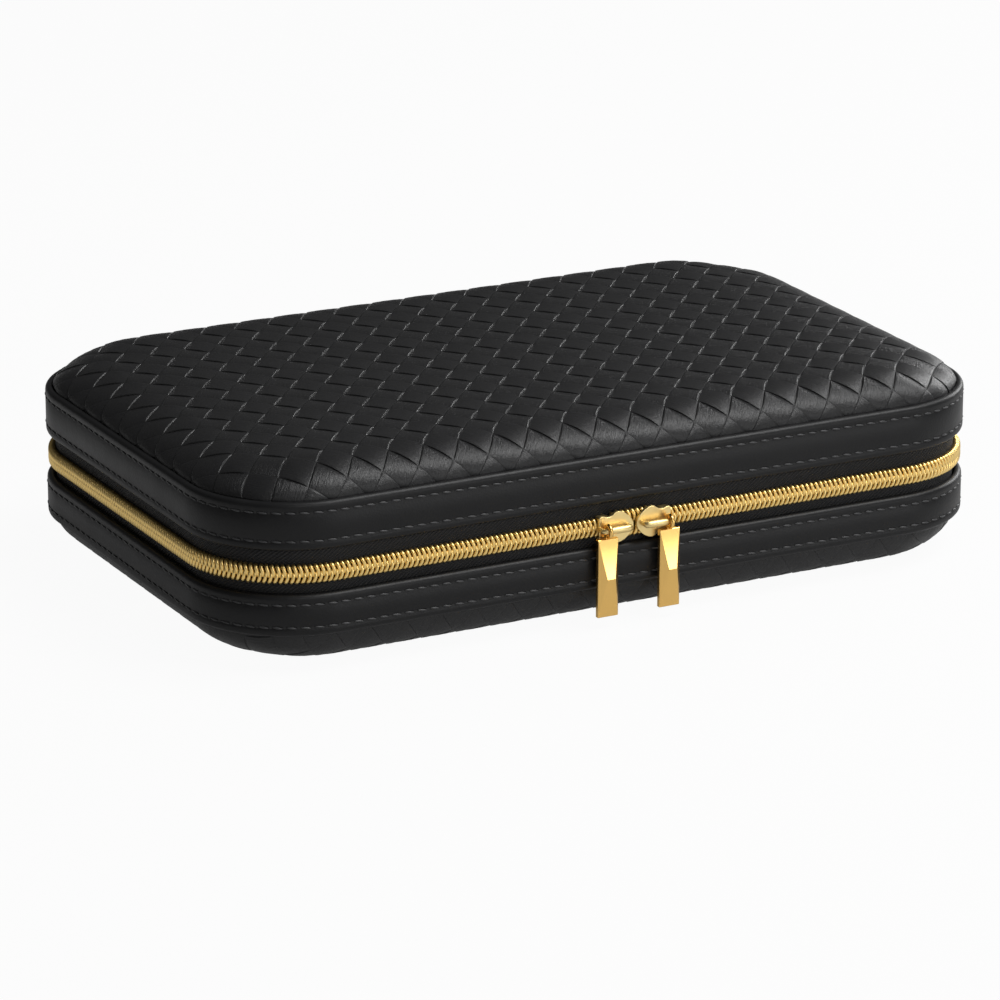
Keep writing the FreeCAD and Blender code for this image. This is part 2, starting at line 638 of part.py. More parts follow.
# Half-lapped dividers: one along the length, three across it
divider_low = f"{PAD_TOP} + sizes.layer_gap"
first_cross = "-sizes.case_length / 2 + sizes.divider_start"
long_end = f"sizes.case_length / 2 - ({LINING_INSIDE}) - sizes.divider_end_gap"
cross_half = f"sizes.case_width / 2 - ({LINING_INSIDE}) - sizes.divider_end_gap"
lap = "sizes.divider_height / 2"
lap_gap = "sizes.divider_thickness + 2 * sizes.divider_fit"
long_start = f"{first_cross} - sizes.divider_thickness"
long_length = f"{long_end} - ({long_start})"
long_board = box("LongBoard", (long_length, "sizes.divider_thickness", "sizes.divider_height"),
                 (long_start, "-sizes.divider_thickness / 2", divider_low))
long_slots = []
for number in range(DIVIDER_COUNT):
    cross_x = f"{first_cross} + {number} * sizes.compartment_length"
    long_slots.append(box("LongSlot", (lap_gap, lap_gap, lap),
                          (f"{cross_x} - ({lap_gap}) / 2", f"-({lap_gap}) / 2", f"{divider_low} + {lap}")))
    cross_length = f"2 * ({cross_half})"
    cross_board = box("CrossBoard", ("sizes.divider_thickness", cross_length, "sizes.divider_height"),
                      (f"{cross_x} - sizes.divider_thickness / 2", f"-({cross_half})", divider_low))
    cross_slot = box("CrossSlot", (lap_gap, lap_gap, f"{lap} + sizes.divider_fit"),
                     (f"{cross_x} - ({lap_gap}) / 2", f"-({lap_gap}) / 2", divider_low))
    keep(cut(f"divider_cross_{number + 1}", cross_board, cross_slot), f"divider_cross_{number + 1}")
keep(cut("divider_long", long_board, join("LongSlots", long_slots)), "divider_long")

doc.recompute()

failed = [item.Label for item in doc.Objects if {"Invalid", "Error"} & set(item.State)]
failed += [item.Label for item in pieces if item.Shape.isNull() or not item.Shape.isValid()]
if failed:
    raise RuntimeError(f"these did not build: {failed}")

os.makedirs("parts", exist_ok=True)
for piece in pieces:
    piece.Shape.exportStep(f"parts/{piece.Label}.step")
    print(piece.Label, len(piece.Shape.Solids), round(piece.Shape.Volume, 1))
print(len(pieces), "pieces")
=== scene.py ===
import math

import bmesh
import bpy
from mathutils import Matrix, Vector


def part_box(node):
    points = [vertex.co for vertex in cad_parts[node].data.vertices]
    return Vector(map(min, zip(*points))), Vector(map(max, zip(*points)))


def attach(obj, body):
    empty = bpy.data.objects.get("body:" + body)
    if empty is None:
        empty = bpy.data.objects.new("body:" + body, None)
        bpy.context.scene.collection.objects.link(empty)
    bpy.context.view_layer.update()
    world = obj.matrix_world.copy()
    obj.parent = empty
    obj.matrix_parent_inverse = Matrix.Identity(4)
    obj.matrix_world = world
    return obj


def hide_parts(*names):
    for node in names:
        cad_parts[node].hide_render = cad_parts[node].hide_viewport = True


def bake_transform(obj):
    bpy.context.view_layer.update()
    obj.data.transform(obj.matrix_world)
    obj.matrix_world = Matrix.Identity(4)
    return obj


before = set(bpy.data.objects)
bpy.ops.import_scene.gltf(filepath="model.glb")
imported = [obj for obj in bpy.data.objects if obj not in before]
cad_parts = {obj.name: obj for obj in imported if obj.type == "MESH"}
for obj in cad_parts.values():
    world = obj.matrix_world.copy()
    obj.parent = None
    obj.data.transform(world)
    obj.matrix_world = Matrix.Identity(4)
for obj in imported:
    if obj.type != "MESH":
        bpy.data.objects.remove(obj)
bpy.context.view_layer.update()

MM = 0.001

# Plan and layers of the case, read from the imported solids
BAND_LOW, BAND_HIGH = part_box("lid_band")
BASE_LOW, BASE_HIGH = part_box("base_band")
PANEL_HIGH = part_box("lid_panel")[1]
SOLE_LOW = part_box("base_panel")[0]
HALF_X = BAND_HIGH.x
HALF_Y = BAND_HIGH.y
CORNER = 34.0 * MM
PANEL_INSET = HALF_X - PANEL_HIGH.x
LID_TAPE_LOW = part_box("lid_tape")[0].z
BASE_TAPE_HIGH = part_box("base_tape")[1].z
ZIP_LINE = (LID_TAPE_LOW + BASE_TAPE_HIGH) / 2
TAPE_INSET = HALF_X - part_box("lid_tape")[1].x
HINGE_LOW, HINGE_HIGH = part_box("hinge_strip")
SLIDER_SHIFT = Vector((-0.5 * MM, 0, 0))
ZIP_MEET = (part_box("left_slider")[1].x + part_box("right_slider")[0].x) / 2 + SLIDER_SHIFT.x

# Embossed weave: diagonals of one cell, a corner of the lattice, and grid lines across a strip
WEAVE_ACROSS = 11.5 * MM
WEAVE_DEEP = 13.0 * MM
WEAVE_START = (0.61 * MM, 4.01 * MM)
STRIP_LINES = 10
LINE_CROWDING = 0.95
STRIP_END_POWER = 2.4
STRIP_SIDE_STEP = 0.022
LID_STRIP_HEIGHT = 0.4 * MM
BASE_STRIP_HEIGHT = 0.22 * MM

# Pillowed edge of the crown panels, and how they sag towards the ends
CROWN_REACH = 16.0 * MM
CROWN_STRETCH = 0.3
END_SAG = 1.1 * MM
CORNER_SAG = 1.4 * MM
END_SLOPE = 0.2
SAG_REACH = 42.0 * MM
SAG_RUN = 26.0 * MM
TOP_DOME = 0.3 * MM
BASE_SAG_SHARE = 0.3
TUCK = 2.5 * MM

# Stitching and coil
STITCH_PITCH = 4.1 * MM
STITCH_EDGE = 3.0 * MM
STITCH_SIZE = (1.55 * MM, 0.34 * MM, 0.36 * MM)
STITCH_LEAN = math.radians(7)
GROOVE = 0.25 * MM
BAND_CORNER_STEPS = 24
LINING_CORNER_STEPS = 16
COIL_PITCH = 1.62 * MM
COIL_WIRE = 0.6 * MM
COIL_FRONT = 0.5 * MM
COIL_SPREAD = 1.3 * MM
COIL_END_GAP = 3.0 * MM
TAPE_TUCK = 4.5 * MM


# Outline of the case in plan

def rim_length(inset):
    r = CORNER - inset
    return 4 * (HALF_X - CORNER) + 4 * (HALF_Y - CORNER) + 2 * math.pi * r


def rim_place(distance, inset):
    """Frame on the outline, X along it and -Y outwards; distance runs from mid-front to the right."""
    r = CORNER - inset
    run_x = HALF_X - CORNER
    run_y = HALF_Y - CORNER
    quarter = math.pi * r / 2
    distance = distance % rim_length(inset)
    runs = [run_x, quarter, 2 * run_y, quarter, 2 * run_x, quarter, 2 * run_y, quarter, run_x]
    x, y, heading = 0.0, -run_y - r, 0.0
    for index, run in enumerate(runs):
        part = min(distance, run)
        if index % 2 == 0:
            x += part * math.cos(heading)
            y += part * math.sin(heading)
        else:
            turn = part / r
            x += r * (math.sin(heading + turn) - math.sin(heading))
            y -= r * (math.cos(heading + turn) - math.cos(heading))
            heading += turn
        distance -= part
        if distance <= 0:
            break
    return Matrix.Translation((x, y, 0)) @ Matrix.Rotation(heading, 4, "Z")


def outline_offset(x, y, half_x, half_y, radius):
    """Distance from a rounded rectangle, negative inside it, and the outward direction in x and y."""
    qx = abs(x) - (half_x - radius)
    qy = abs(y) - (half_y - radius)
    sx = 1 if x >= 0 else -1
    sy = 1 if y >= 0 else -1
    if qx > 0 and qy > 0:
        far = math.hypot(qx, qy)
        nx, ny = sx * qx / far, sy * qy / far
        return far - radius, nx, ny
    if qx > qy:
        return qx - radius, sx, 0.0
    return qy - radius, 0.0, sy


# Mesh helpers

def finish_piece(name, bm, material, body, smooth=True):
    mesh = bpy.data.meshes.new(name)
    bm.to_mesh(mesh)
    bm.free()
    if smooth is not None:
        for polygon in mesh.polygons:
            polygon.use_smooth = smooth
    piece = bpy.data.objects.new(name, mesh)
    bpy.context.scene.collection.objects.link(piece)
    mesh.materials.append(material)
    if body:
        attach(piece, body)
    return piece


def add_bevel(piece, width, segments=2, angle=35):
    bevel = piece.modifiers.new("rounded edges", "BEVEL")
    bevel.width = width
    bevel.segments = segments
    bevel.limit_method = "ANGLE"
    bevel.angle_limit = math.radians(angle)
    bevel.harden_normals = True


def mark_sharp(bm):
    """Smooth shading that breaks at sharp edges."""
    limit = math.radians(50)
    for edge in bm.edges:
        edge.smooth = not edge.is_manifold or edge.calc_face_angle() < limit


def new_verts(bm, before):
    bm.verts.ensure_lookup_table()
    return bm.verts[before:]


def add_block(bm, low, high):
    """Box between two corners."""
    low = Vector(low)
    high = Vector(high)
    made = bmesh.ops.create_cube(bm, size=1.0)["verts"]
    bmesh.ops.scale(bm, vec=high - low, verts=made)
    bmesh.ops.translate(bm, vec=(high + low) / 2, verts=made)
    return made


def add_tube(bm, points, radii, sides):
    """Round wire through a few points, made by extruding a circle from each to the next."""
    points = [Vector(p) for p in points]
    circle = bmesh.ops.create_circle(bm, cap_ends=False, radius=radii[0], segments=sides)["verts"]
    aim = Vector((0, 0, 1)).rotation_difference(points[1] - points[0]).to_matrix()
    bmesh.ops.rotate(bm, cent=(0, 0, 0), matrix=aim, verts=circle)
    bmesh.ops.translate(bm, vec=points[0], verts=circle)
    loop = list({edge for vert in circle for edge in vert.link_edges})
    first = loop
    heading = (points[1] - points[0]).normalized()
    for index in range(1, len(points)):
        ahead = points[min(index + 1, len(points) - 1)] - points[index - 1]
        ahead.normalize()
        made = bmesh.ops.extrude_edge_only(bm, edges=loop)["geom"]
        ring = [g for g in made if isinstance(g, bmesh.types.BMVert)]
        loop = [g for g in made if isinstance(g, bmesh.types.BMEdge) and g.is_boundary]
        bmesh.ops.translate(bm, vec=points[index] - points[index - 1], verts=ring)
        turn = heading.rotation_difference(ahead).to_matrix()
        bmesh.ops.rotate(bm, cent=points[index], matrix=turn, verts=ring)
        grow = radii[index] / radii[index - 1]
        bmesh.ops.scale(bm, vec=(grow, grow, grow), space=Matrix.Translation(-points[index]), verts=ring)
        heading = ahead
    bmesh.ops.contextual_create(bm, geom=first)
    bmesh.ops.contextual_create(bm, geom=loop)


def repeat_along(bm, template, places):
    """Copies of one small mesh, each at its own frame."""
    for place in places:
        before = len(bm.verts)
        bm.from_mesh(template)
        bmesh.ops.transform(bm, matrix=place, verts=new_verts(bm, before))


def sweep_round(bm, profile, corner_steps):
    """Open profile of (outward, height) points swept once round the case's outline."""
    verts = [bm.verts.new((0, -HALF_Y - out, z)) for out, z in profile]
    loop = [bm.edges.new(pair) for pair in zip(verts, verts[1:])]
    geom = verts + loop
    run_x = HALF_X - CORNER
    run_y = HALF_Y - CORNER
    centres = [(run_x, -run_y), (run_x, run_y), (-run_x, run_y), (-run_x, -run_y)]
    steps = [Vector((run_x, 0, 0)), Vector((0, 2 * run_y, 0)), Vector((-2 * run_x, 0, 0)),
             Vector((0, -2 * run_y, 0)), Vector((run_x, 0, 0))]
    for turn, step in enumerate(steps):
        edges = [g for g in geom if isinstance(g, bmesh.types.BMEdge)]
        made = bmesh.ops.extrude_edge_only(bm, edges=edges)["geom"]
        moved = [g for g in made if isinstance(g, bmesh.types.BMVert)]
        bmesh.ops.translate(bm, vec=step, verts=moved)
        kept = set(moved)
        geom = moved + [g for g in made if isinstance(g, bmesh.types.BMEdge) and set(g.verts) <= kept]
        if turn < 4:
            spun = bmesh.ops.spin(bm, geom=geom, cent=(*centres[turn], 0), axis=(0, 0, 1),
                                  angle=math.pi / 2, steps=corner_steps, use_merge=False)
            geom = spun["geom_last"]
    bmesh.ops.remove_doubles(bm, verts=bm.verts, dist=1e-6)
    bmesh.ops.recalc_face_normals(bm, faces=bm.faces)


# Materials

def new_material(name):
    material = bpy.data.materials.new(name)
    material.use_nodes = True
    nodes = material.node_tree.nodes
    return material, nodes, material.node_tree.links, nodes["Principled BSDF"]


def add_node(nodes, kind, **settings):
    node = nodes.new(kind)
    for key, setting in settings.items():
        if key in node.inputs:
            node.inputs[key].default_value = setting
        else:
            setattr(node, key, setting)
    return node


def add_bump(nodes, links, height, distance, strength, before=None):
    bump = add_node(nodes, "ShaderNodeBump", Strength=strength, Distance=distance)
    links.new(height, bump.inputs["Height"])
    if before:
        links.new(before.outputs["Normal"], bump.inputs["Normal"])
    return bump


def vary_roughness(nodes, links, source, shader, low, high):
    spread = add_node(nodes, "ShaderNodeMapRange")
    spread.inputs["To Min"].default_value = low
    spread.inputs["To Max"].default_value = high
    links.new(source, spread.inputs["Value"])
    links.new(spread.outputs["Result"], shader.inputs["Roughness"])


def vary_colour(nodes, links, source, shader, dark, light):
    ramp = add_node(nodes, "ShaderNodeValToRGB")
    ramp.color_ramp.elements[0].color = (*dark, 1)
    ramp.color_ramp.elements[1].color = (*light, 1)
    links.new(source, ramp.inputs["Fac"])
    links.new(ramp.outputs["Color"], shader.inputs["Base Color"])


def band_leather():
    """Smooth black leather with a fine pebble grain."""
    material, nodes, links, shader = new_material("band_leather")
    place = add_node(nodes, "ShaderNodeTexCoord")
    pebble = add_node(nodes, "ShaderNodeTexVoronoi", Scale=1500.0)
    links.new(place.outputs["Object"], pebble.inputs["Vector"])
    cloud = add_node(nodes, "ShaderNodeTexNoise", Scale=90.0, Detail=4.0)
    links.new(place.outputs["Object"], cloud.inputs["Vector"])
    fine = add_node(nodes, "ShaderNodeTexNoise", Scale=2400.0, Detail=3.0)
    links.new(place.outputs["Object"], fine.inputs["Vector"])
    first = add_bump(nodes, links, pebble.outputs["Distance"], 0.00008, 0.35)
    second = add_bump(nodes, links, fine.outputs["Fac"], 0.00006, 0.35, first)
    third = add_bump(nodes, links, cloud.outputs["Fac"], 0.0006, 0.25, second)
    links.new(third.outputs["Normal"], shader.inputs["Normal"])
    vary_colour(nodes, links, cloud.outputs["Fac"], shader, (0.006, 0.006, 0.0065), (0.011, 0.011, 0.0115))
    vary_roughness(nodes, links, cloud.outputs["Fac"], shader, 0.38, 0.5)
    shader.inputs["Specular IOR Level"].default_value = 0.25
    return material


def woven_leather():
    """Black embossed leather: creases run along each strip, read from the strips' own map."""
    material, nodes, links, shader = new_material("woven_leather")
    strip = add_node(nodes, "ShaderNodeUVMap", uv_map="strip")
    drawn = add_node(nodes, "ShaderNodeMapping")
    drawn.inputs["Scale"].default_value = (3.0, 26.0, 1.0)
    links.new(strip.outputs["UV"], drawn.inputs["Vector"])
    crease = add_node(nodes, "ShaderNodeTexNoise", Scale=1.0, Detail=5.0, Roughness=0.6, Distortion=0.7)
    links.new(drawn.outputs["Vector"], crease.inputs["Vector"])
    place = add_node(nodes, "ShaderNodeTexCoord")
    pebble = add_node(nodes, "ShaderNodeTexVoronoi", Scale=1400.0)
    links.new(place.outputs["Object"], pebble.inputs["Vector"])
    cloud = add_node(nodes, "ShaderNodeTexNoise", Scale=120.0, Detail=3.0)
    links.new(place.outputs["Object"], cloud.inputs["Vector"])
    first = add_bump(nodes, links, crease.outputs["Fac"], 0.0005, 0.45)
    second = add_bump(nodes, links, pebble.outputs["Distance"], 0.00008, 0.3, first)
    links.new(second.outputs["Normal"], shader.inputs["Normal"])
    vary_colour(nodes, links, cloud.outputs["Fac"], shader, (0.008, 0.008, 0.0085), (0.014, 0.014, 0.0145))
    vary_roughness(nodes, links, crease.outputs["Fac"], shader, 0.34, 0.46)
    shader.inputs["Specular IOR Level"].default_value = 0.38
    return material


def gold_plate(name, colour, rough_low, rough_high):
    """Polished gold plate with faint hairlines."""
    material, nodes, links, shader = new_material(name)
    shader.inputs["Metallic"].default_value = 1.0
    place = add_node(nodes, "ShaderNodeTexCoord")
    cloud = add_node(nodes, "ShaderNodeTexNoise", Scale=260.0, Detail=4.0)
    links.new(place.outputs["Object"], cloud.inputs["Vector"])
    dark = tuple(c * 0.94 for c in colour)
    vary_colour(nodes, links, cloud.outputs["Fac"], shader, dark, colour)
    vary_roughness(nodes, links, cloud.outputs["Fac"], shader, rough_low, rough_high)
    bump = add_bump(nodes, links, cloud.outputs["Fac"], 0.00002, 0.15)
    links.new(bump.outputs["Normal"], shader.inputs["Normal"])
    return material


def tape_twill():
    """Black polyester tape with a slanted twill rib, read from the tape's own map."""
    material, nodes, links, shader = new_material("tape_twill")
    run = add_node(nodes, "ShaderNodeUVMap", uv_map="run")
    turned = add_node(nodes, "ShaderNodeMapping")
    turned.inputs["Rotation"].default_value = (0, 0, math.radians(52))
    links.new(run.outputs["UV"], turned.inputs["Vector"])
    rib = add_node(nodes, "ShaderNodeTexWave", Scale=330.0, Distortion=0.6, Detail=1.0)
    links.new(turned.outputs["Vector"], rib.inputs["Vector"])
    yarn = add_node(nodes, "ShaderNodeTexWave", Scale=620.0, Distortion=1.0, Detail=1.0,
                    bands_direction="Y")
    links.new(run.outputs["UV"], yarn.inputs["Vector"])
    first = add_bump(nodes, links, rib.outputs["Fac"], 0.0003, 0.8)
    second = add_bump(nodes, links, yarn.outputs["Fac"], 0.00015, 0.5, first)
    links.new(second.outputs["Normal"], shader.inputs["Normal"])
    # Colour follows the rib's height: darker in the grooves and lighter on the crests, painted shade of
    # the rib.
    vary_colour(nodes, links, rib.outputs["Fac"], shader, (0.004, 0.004, 0.005), (0.014, 0.014, 0.015))
    vary_roughness(nodes, links, yarn.outputs["Fac"], shader, 0.6, 0.8)
    return material


def velvet(name, dark, light):
    """Short-pile lining cloth."""
    material, nodes, links, shader = new_material(name)
    place = add_node(nodes, "ShaderNodeTexCoord")
    pile = add_node(nodes, "ShaderNodeTexNoise", Scale=1800.0, Detail=3.0)
    links.new(place.outputs["Object"], pile.inputs["Vector"])
    stroke = add_node(nodes, "ShaderNodeTexNoise", Scale=45.0, Detail=5.0, Distortion=0.8)
    links.new(place.outputs["Object"], stroke.inputs["Vector"])
    first = add_bump(nodes, links, pile.outputs["Fac"], 0.0003, 0.6)
    second = add_bump(nodes, links, stroke.outputs["Fac"], 0.0008, 0.25, first)
    links.new(second.outputs["Normal"], shader.inputs["Normal"])
    vary_colour(nodes, links, stroke.outputs["Fac"], shader, dark, light)
    vary_roughness(nodes, links, pile.outputs["Fac"], shader, 0.8, 0.95)
    shader.inputs["Sheen Weight"].default_value = 0.5
    shader.inputs["Sheen Roughness"].default_value = 0.4
    return material


def stitch_thread(name, dark, light):
    material, nodes, links, shader = new_material(name)
    place = add_node(nodes, "ShaderNodeTexCoord")
    ply = add_node(nodes, "ShaderNodeTexNoise", Scale=2600.0, Detail=2.0)
    links.new(place.outputs["Object"], ply.inputs["Vector"])
    bump = add_bump(nodes, links, ply.outputs["Fac"], 0.0001, 0.5)
    links.new(bump.outputs["Normal"], shader.inputs["Normal"])
    vary_colour(nodes, links, ply.outputs["Fac"], shader, dark, light)
    vary_roughness(nodes, links, ply.outputs["Fac"], shader, 0.4, 0.6)
    return material


def grey_board():
    material, nodes, links, shader = new_material("grey_board")
    place = add_node(nodes, "ShaderNodeTexCoord")
    fibre = add_node(nodes, "ShaderNodeTexNoise", Scale=500.0, Detail=5.0)
    links.new(place.outputs["Object"], fibre.inputs["Vector"])
    bump = add_bump(nodes, links, fibre.outputs["Fac"], 0.0002, 0.4)
    links.new(bump.outputs["Normal"], shader.inputs["Normal"])
    vary_colour(nodes, links, fibre.outputs["Fac"], shader, (0.22, 0.20, 0.17), (0.32, 0.29, 0.25))
    vary_roughness(nodes, links, fibre.outputs["Fac"], shader, 0.75, 0.9)
    return material


BAND_LEATHER = band_leather()
WOVEN_LEATHER = woven_leather()
GOLD = gold_plate("gold_plate", (0.90, 0.70, 0.32), 0.38, 0.46)
PULL_GOLD = gold_plate("pull_gold", (0.95, 0.60, 0.19), 0.18, 0.22)
COIL_GOLD = gold_plate("coil_gold", (1.0, 0.72, 0.27), 0.3, 0.38)
TWILL = tape_twill()
LINING = velvet("lining_velvet", (0.012, 0.012, 0.013), (0.03, 0.03, 0.032))
THREAD = stitch_thread("stitch_thread", (0.02, 0.02, 0.021), (0.05, 0.05, 0.052))
# Near-black finish for the discs at the stitch ends: painted shade of the needle holes.
PAINTED_HOLE_SHADE = stitch_thread("painted_hole_shade", (0.001, 0.001, 0.001), (0.003, 0.003, 0.003))
BOARD = grey_board()


# Embossed crown panels

def weave_relief(along, across):
    """Height of one strip where it lies on top: its ends dive under, its sides end in a sheer step."""
    end = 1.0 - abs(along) ** STRIP_END_POWER
    side = min((1.0 - abs(across)) / STRIP_SIDE_STEP, 1.0)
    pillow = 0.95 + 0.05 * (1 - across * across)
    return (0.08 + 0.92 * end) * side * pillow


def strip_line(place):
    """Cell number and place within the cell of one grid line; lines crowd towards the cell's edges."""
    steps = round(place * STRIP_LINES)
    share = steps % STRIP_LINES / STRIP_LINES
    return steps // STRIP_LINES, share - LINE_CROWDING * math.sin(2 * math.pi * share) / (2 * math.pi)


def end_sag(x, y):
    """How far the padded panel falls away towards its ends, and further at its corners."""
    share_x = min(max((abs(x) - HALF_X + SAG_REACH) / SAG_RUN, 0.0), 1.0)
    share_y = min(max((abs(y) - HALF_Y + SAG_REACH) / SAG_RUN, 0.0), 1.0)
    return share_x * share_x * (END_SAG + CORNER_SAG * share_y * share_y)


def crown_panel(name, nodes, body, top, rim, dome, sag, strip_height):
    """Leather cap: a lattice of strips on the slant, wrapped from the flat over the pillowed edge."""
    up = 1 if top > rim else -1
    drop = abs(top - rim)
    flat_x = HALF_X - PANEL_INSET - CROWN_REACH
    flat_y = HALF_Y - PANEL_INSET - CROWN_REACH
    flat_r = CORNER - PANEL_INSET - CROWN_REACH
    arc = (CROWN_REACH + drop) / 2 * math.pi / 2
    limit = arc + TUCK
    reach_x = flat_x + limit + abs(WEAVE_START[0])
    reach_y = flat_y + limit + abs(WEAVE_START[1])
    strips = 2 * math.ceil(reach_x / WEAVE_ACROSS + reach_y / WEAVE_DEEP)
    grain_shift = 31.7
    wall_share = 0.35
    bm = bmesh.new()
    bmesh.ops.create_grid(bm, x_segments=strips * STRIP_LINES, y_segments=strips * STRIP_LINES,
                          size=strips / 2)
    strip_map = bm.verts.layers.float_vector.new("strip_place")
    lost = []
    for vert in bm.verts:
        column, a = strip_line(vert.co.x)
        row, b = strip_line(vert.co.y)
        u = column + a
        v = row + b
        x = WEAVE_START[0] + (u - v) / 2 * WEAVE_ACROSS
        y = WEAVE_START[1] + (u + v) / 2 * WEAVE_DEEP
        past, nx, ny = outline_offset(x, y, flat_x, flat_y, flat_r)
        travel = past * (1 + CROWN_STRETCH * min(max(past / CROWN_REACH, 0), 1))
        if travel > limit:
            lost.append(vert)
            continue
        over_u = (column + row) % 2 == 1
        along, across = (2 * a - 1, 2 * b - 1) if over_u else (2 * b - 1, 2 * a - 1)
        relief = 0.0 if a == 0 or b == 0 else strip_height * weave_relief(along, across)
        vert[strip_map] = (u, v, relief) if over_u else (v + grain_shift, u, relief)
        lift = relief - strip_height
        slump = sag * end_sag(x, y)
        if past <= 0:
            share_x = x / flat_x
            share_y = y / flat_y
            rise = dome * (1 - share_x * share_x) * (1 - share_y * share_y)
            vert.co = (x, y, top + up * (rise + lift - slump))
            continue
        turn = min(travel / arc, 1.0) * math.pi / 2
        slope = 1 + END_SLOPE * abs(nx)
        out = CROWN_REACH * math.sin(turn) ** slope + lift * math.sin(turn)
        fall = drop * (1 - math.cos(turn) ** slope) + (slump - lift) * math.cos(turn)
        fall += max(travel - arc, 0)
        vert.co = (x - nx * (past - out), y - ny * (past - out), top - up * fall)
    bmesh.ops.delete(bm, geom=lost, context="VERTS")
    uv = bm.loops.layers.uv.new("strip")
    for face in bm.faces:
        heights = [vert[strip_map].z for vert in face.verts]
        face.smooth = max(heights) - min(heights) < wall_share * strip_height
        for loop in face.loops:
            loop[uv].uv = loop.vert[strip_map].xy
    if up < 0:
        bmesh.ops.reverse_faces(bm, faces=bm.faces)
    piece = finish_piece(name, bm, WOVEN_LEATHER, body, smooth=None)
    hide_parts(*nodes)


crown_panel("lid_woven_panel", ("lid_panel", "lid_crown_foam"), "lid", PANEL_HIGH.z, BAND_HIGH.z,
            TOP_DOME, 1.0, LID_STRIP_HEIGHT)
crown_panel("base_woven_panel", ("base_panel", "base_crown_foam"), "base", SOLE_LOW.z, BASE_LOW.z,
            0.0, BASE_SAG_SHARE, BASE_STRIP_HEIGHT)


# Smooth leather bands with their stitching

def leather_band(name, nodes, body, low, high):
    """Band with rolled edges, a shallow stitch groove near each, and its inner face."""
    roll = 1.5 * MM
    half_groove = 0.6 * MM
    thick = 2.0 * MM
    roll_steps = 6
    profile = [(-thick, low)]
    for step in range(roll_steps + 1):
        turn = math.pi / 2 * step / roll_steps
        profile.append((-roll + roll * math.sin(turn), low + roll * (1 - math.cos(turn))))
    for centre in (low + STITCH_EDGE, high - STITCH_EDGE):
        profile += [(0.0, centre - half_groove), (-GROOVE, centre - half_groove / 3),
                    (-GROOVE, centre + half_groove / 3), (0.0, centre + half_groove)]
    for step in range(roll_steps + 1):
        turn = math.pi / 2 * (1 - step / roll_steps)
        profile.append((-roll + roll * math.sin(turn), high - roll * (1 - math.cos(turn))))
    profile += [(-thick, high), (-thick, low)]
    bm = bmesh.new()
    sweep_round(bm, profile, BAND_CORNER_STEPS)
    piece = finish_piece(name, bm, BAND_LEATHER, body)
    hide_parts(*nodes)


def stitch_rows(name, body, heights):
    """Rows of short saddle stitches in the groove, each leaning a little; a near-black disc at each
    stitch's end is painted shade where the needle hole would be dark.
    """
    bm = bmesh.new()
    bmesh.ops.create_uvsphere(bm, u_segments=6, v_segments=5, radius=1.0)
    bmesh.ops.rotate(bm, cent=(0, 0, 0), matrix=Matrix.Rotation(math.pi / 2, 3, "Y"), verts=bm.verts)
    bmesh.ops.scale(bm, vec=STITCH_SIZE, verts=bm.verts)
    bmesh.ops.rotate(bm, cent=(0, 0, 0), matrix=Matrix.Rotation(STITCH_LEAN, 3, "Y"), verts=bm.verts)
    bmesh.ops.translate(bm, vec=(0, -0.05 * MM, 0), verts=bm.verts)
    # Near-black disc at the stitch's end: painted shade standing in for the needle hole's darkness.
    hole_shade_disc = bmesh.ops.create_circle(bm, cap_ends=True, radius=1.0, segments=8)["verts"]
    bmesh.ops.rotate(bm, cent=(0, 0, 0), matrix=Matrix.Rotation(math.pi / 2, 3, "X"), verts=hole_shade_disc)
    bmesh.ops.scale(bm, vec=(0.5 * MM, 1.0, 0.45 * MM), verts=hole_shade_disc)
    bmesh.ops.translate(bm, vec=(STITCH_PITCH / 2, 0.03 * MM, 0), verts=hole_shade_disc)
    for face in hole_shade_disc[0].link_faces:
        face.material_index = 1
    template = bpy.data.meshes.new("one_stitch")
    bm.to_mesh(template)
    bm.free()
    sunk = GROOVE - 0.05 * MM
    length = rim_length(sunk)
    count = round(length / STITCH_PITCH)
    bm = bmesh.new()
    for height in heights:
        lift = Matrix.Translation((0, 0, height))
        repeat_along(bm, template, [lift @ rim_place(length * i / count, sunk) for i in range(count)])
    bpy.data.meshes.remove(template)
    piece = finish_piece(name, bm, THREAD, body)
    piece.data.materials.append(PAINTED_HOLE_SHADE)


leather_band("lid_leather_band", ("lid_band", "lid_band_foam"), "lid", BAND_LOW.z, BAND_HIGH.z)
leather_band("base_leather_band", ("base_band", "base_band_foam"), "base", BASE_LOW.z, BASE_HIGH.z)
stitch_rows("lid_stitching", "lid", (BAND_LOW.z + STITCH_EDGE, BAND_HIGH.z - STITCH_EDGE))
stitch_rows("base_stitching", "base", (BASE_LOW.z + STITCH_EDGE, BASE_HIGH.z - STITCH_EDGE))


# Zip: tapes and coils

HINGE_HALF = HINGE_HIGH.x
ZIP_HALF = rim_length(TAPE_INSET) / 2 - HINGE_HALF


